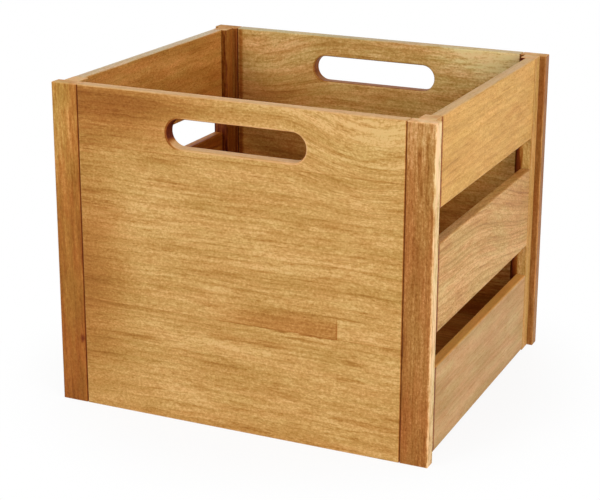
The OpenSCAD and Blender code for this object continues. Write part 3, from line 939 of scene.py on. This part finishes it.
# %% Close the grid to a screw
def closed_grid(points, first, last):
    """Points, quads and triangles of a grid that goes round, closed by one point at each end.
    Faces run row to row with their corners in the order that points them outward."""
    rows, columns = points.shape[:2]
    nearer = np.arange(rows * columns).reshape(rows, columns)
    later = np.roll(nearer, -1, axis=1)
    quads = np.stack([nearer[:-1], nearer[1:], later[1:], later[:-1]], axis=2).reshape(-1, 4)
    cap = np.stack([np.full(columns, rows * columns), nearer[0], later[0]], axis=1)
    point = np.stack([np.full(columns, rows * columns + 1), later[-1], nearer[-1]], axis=1)
    return np.vstack([points.reshape(-1, 3), first, last]), quads, np.vstack([cap, point])


screw_points, screw_quads, screw_triangles = closed_grid(screw_grid(), (0, 0, -RECESS_DEPTH),
                                                         (0, 0, -SCREW_LENGTH))
print("one screw:", len(screw_points), "points,", len(screw_quads) + len(screw_triangles), "faces")

# %% [markdown]
# ## Where the screws sit
# The places follow the drawing: six heads in the floor along front and back, four along the
# sides, and eight screws from the cleats into the walls, so that their heads look inwards. They
# lie in rows, so each row is written as shares of its length.

# %% Places of the screws
CROSS_X, CROSS_Y, SIDE_X, SIDE_Y = mm(129), mm(142), mm(158), mm(102)
FLOOR_TOP, CLEAT_MIDDLE = mm(23), mm(8)
CROSS_WALL_Y, SIDE_WALL_X = mm(136), mm(152)
BOTH_SIDES, UPWARDS = (-1, 1), (0, 0, 1)

places = [((share * CROSS_X, side * CROSS_Y, FLOOR_TOP), UPWARDS) for side in BOTH_SIDES
          for share in (-1, 0, 1)]
places += [((side * SIDE_X, share * SIDE_Y, FLOOR_TOP), UPWARDS) for side in BOTH_SIDES
           for share in (-0.6, 0.6)]
places += [((share * CROSS_X, side * CROSS_WALL_Y, CLEAT_MIDDLE), (0, -side, 0)) for side in BOTH_SIDES
           for share in (-0.5, 0.5)]
places += [((side * SIDE_WALL_X, share * SIDE_Y, CLEAT_MIDDLE), (-side, 0, 0)) for side in BOTH_SIDES
           for share in (-0.2, 0.2)]
print("screws to set:", len(places))

# %% [markdown]
# ## Driving them in
# All the screws are one mesh, as they are one node in the drawing, and one sum on arrays turns
# and moves all their points at once. No two screws end at the same angle when they are driven
# in, so each is twisted by chance, from a seed that gives the same chances each time.

# %% Set the screws in their holes
TWIST_SEED = 7


def set_points(points, places, twist):
    """Every screw at once: its points turned so that the head looks the given way, each by a
    twist of its own about its axis, then moved to its place."""
    turns = np.array([np.array(Vector(look).to_track_quat("Z", "Y").to_matrix()
                               @ Matrix.Rotation(angle, 3, "Z")) for (_, look), angle in zip(places, twist)])
    at = np.array([place for place, _ in places])
    return (np.einsum("sij,pj->spi", turns, points) + at[:, None, :]).reshape(-1, 3)


def repeat_faces(faces, count, step):
    """One screw's faces for every screw, the corners' numbers moved on by a screw's points."""
    return (faces[None] + step * np.arange(count)[:, None, None]).reshape(-1, faces.shape[1]).tolist()


def new_object(name, data):
    """An object in the scene, at the origin, with this mesh, lamp or camera."""
    thing = bpy.data.objects.new(name, data)
    bpy.context.scene.collection.objects.link(thing)
    return thing


twist = np.random.default_rng(TWIST_SEED).uniform(0, pi / 2, len(places))
screw_mesh = bpy.data.meshes.new("wood_screws")
screw_mesh.from_pydata(set_points(screw_points, places, twist).tolist(), [],
                       repeat_faces(screw_quads, len(places), len(screw_points))
                       + repeat_faces(screw_triangles, len(places), len(screw_points)))
screw_mesh.update()
screw_mesh.shade_smooth()
screws = new_object("wood_screws", screw_mesh)
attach(screws, "root")
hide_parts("screws")
print("screw mesh:", len(screw_mesh.vertices), "points")

# %% [markdown]
# ## Screw steel
# The screws are plain steel with a thin zinc coat: grey, faintly blue, with fine turning marks
# that scatter the light, and darker in the recess.

# %% Finish the screws
COOL_ZINC, WARM_ZINC, DARK_RECESS_ZINC = (0.42, 0.43, 0.45, 1), (0.60, 0.60, 0.60, 1), (0.16, 0.15, 0.14, 1)
DARK_RECESS_SHARE = 0.6
BLOOM_FINENESS, SCUFF_FINENESS = (900.0, 900.0, 900.0), (2600.0, 2600.0, 300.0)

steel = bpy.data.materials.new("zinc_steel")
pattern = pattern_for(steel)
where = pattern.add("ShaderNodeTexCoord").outputs["Object"]
scuff = pattern.noise(where, SCUFF_FINENESS)
sunk = pattern.ramp(pattern.split(where)[2], FLOOR_TOP - mm(1.0), FLOOR_TOP - mm(0.1), low=1.0, high=0.0)
grey = pattern.mix(pattern.noise(where, BLOOM_FINENESS, detail=3.0), COOL_ZINC, WARM_ZINC)
grey = pattern.mix(pattern.math("MULTIPLY", sunk, DARK_RECESS_SHARE), grey, DARK_RECESS_ZINC)
rough = pattern.ramp(scuff, *NOISE_SPAN, low=0.26, high=0.46)
marks = pattern.add("ShaderNodeBump", {"Strength": 0.2, "Distance": mm(0.1), "Height": scuff})
metal = pattern.add("ShaderNodeBsdfPrincipled", {"Base Color": grey, "Roughness": rough, "Metallic": 1.0,
                                                 "Normal": marks.outputs[0]})
pattern.add("ShaderNodeOutputMaterial", {"Surface": metal.outputs[0]})
screw_mesh.materials.append(steel)
print("screw finish:", steel.name)

# %% [markdown]
# ## Floor and background
# The crate stands on a plain white sweep with hardly any shadow. The floor is a big disc of
# nearly white paint. Where the camera looks at it, most of what it shows is plain white: 88 %
# under the crate, and all of it from 32 cm out. So the shadow stays but goes faint, and the
# light on the crate doesn't have to be turned up. Reflections show the same white, and so would
# glass, if something of glass were ever put in.

# %% The floor
FLOOR_RADIUS, FLOOR_CORNERS = 14.0, 96
MOTTLE_FINENESS = (3.0, 3.0, 3.0)
WHITE_FROM, WHITE_ALL, WHITE_NEAR = 0.18, 0.32, 0.88


def disc(radius, count):
    """Corners of a flat disc on the ground: radius times (cosine, sine) of even angles."""
    angle = np.linspace(0, 2 * pi, count, endpoint=False)
    return np.stack([radius * np.cos(angle), radius * np.sin(angle), np.zeros(count)], axis=1)


def seen_by_camera(pattern):
    """1 for what the camera sees, be it directly, in a reflection or through glass, and 0 for
    light on its way to a surface."""
    rays = pattern.add("ShaderNodeLightPath").outputs
    seen = pattern.math("MAXIMUM", rays["Is Camera Ray"], rays["Is Glossy Ray"])
    return pattern.math("MAXIMUM", seen, rays["Is Transmission Ray"])


floor_mesh = bpy.data.meshes.new("studio_floor")
floor_mesh.from_pydata(disc(FLOOR_RADIUS, FLOOR_CORNERS).tolist(), [], [list(range(FLOOR_CORNERS))])
floor = new_object("studio_floor", floor_mesh)

paint = bpy.data.materials.new("studio_floor_paint")
pattern = pattern_for(paint)
where = pattern.add("ShaderNodeTexCoord").outputs["Object"]
mottle = pattern.noise(where, MOTTLE_FINENESS, detail=3.0)
mottle = pattern.ramp(mottle, *NOISE_SPAN, low=0.93, high=0.95)
matt = pattern.add("ShaderNodeBsdfPrincipled", {"Base Color": pattern.join(mottle, mottle, mottle),
                                                "Roughness": 0.9, "Specular IOR Level": 0.1})
white = pattern.add("ShaderNodeEmission", {"Color": (1, 1, 1, 1), "Strength": 1.0})
whiter = pattern.ramp(pattern.vector("LENGTH", where), WHITE_FROM, WHITE_ALL, low=WHITE_NEAR, high=1.0)
shown = pattern.math("MULTIPLY", seen_by_camera(pattern), whiter)
both = pattern.add("ShaderNodeMixShader", {0: shown, 1: matt.outputs[0], 2: white.outputs[0]})
pattern.add("ShaderNodeOutputMaterial", {"Surface": both.outputs[0]})
floor_mesh.materials.append(paint)
print("floor radius:", FLOOR_RADIUS, "m")

# %% [markdown]
# ## Light
# The photograph has soft light from all round, stronger from the right, so that the side slats
# are brighter than the front. A wide lamp on the right gives that, a second one lifts the front,
# and the sky gives the rest. A third lamp stands low behind the crate, for the views from there
# and the left side. It is kept out of reflections, because it would glare on the flat top rims.

# %% Lamps and sky
CRATE_MIDDLE = (0, 0, 0.15)
SKY_STRENGTH = 0.45


def lamp(name, place, size, watts):
    """A square lamp at a place, turned so that its face looks at the crate."""
    light = bpy.data.lights.new(name, "AREA")
    light.size, light.energy = size, watts
    thing = new_object(name, light)
    thing.location = place
    thing.rotation_euler = (Vector(CRATE_MIDDLE) - Vector(place)).to_track_quat("-Z", "Y").to_euler()
    return thing


lamp("key_lamp", place=(2.75, -1.4, 1.3), size=1.7, watts=58)
lamp("fill_lamp", place=(-1.5, -2.6, 2.1), size=1.4, watts=35.5)
back_lamp = lamp("back_lamp", place=(-0.8, 2.9, 0.8), size=1.4, watts=18)
back_lamp.visible_glossy = False

sky = bpy.data.worlds.new("studio_sky")
pattern = pattern_for(sky)
strength = pattern.ramp(seen_by_camera(pattern), 0.0, 1.0, low=SKY_STRENGTH, high=1.0)
backdrop = pattern.add("ShaderNodeBackground", {"Color": (1, 1, 1, 1), "Strength": strength})
pattern.add("ShaderNodeOutputWorld", {"Surface": backdrop.outputs[0]})
bpy.context.scene.world = sky
bpy.context.scene.view_settings.view_transform = "Standard"

# %% [markdown]
# ## Camera
# The camera's place and lens were worked out from the crate's own corners in the photograph.
# The picture was cut from a larger one, so the middle of the lens is not in the middle of the
# frame, and a small shift puts it back.

# %% The camera
CAMERA_PLACE = mm(583.27, -1295.25, 591.61)
TO_RIGHT, UP, AHEAD = (0.92265, 0.38538, 0.01417), (-0.12076, 0.25384, 0.95968), (-0.36624, 0.88716, -0.28074)
SENSOR_MM, LENS_MM = 36, 93.754
SHIFT = (-0.1, -0.09)

lens = bpy.data.cameras.new("photo_camera")
lens.sensor_width, lens.lens = SENSOR_MM, LENS_MM
lens.shift_x, lens.shift_y = SHIFT
lens.clip_start, lens.clip_end = 0.05, 100
camera = new_object("photo_camera", lens)
axes = np.array([TO_RIGHT, UP, np.negative(AHEAD)]).T
camera.matrix_world = Matrix.Translation(CAMERA_PLACE) @ Matrix(axes.tolist()).to_4x4()
bpy.context.scene.camera = camera
print("camera at", [round(v, 3) for v in camera.location])

# %% [markdown]
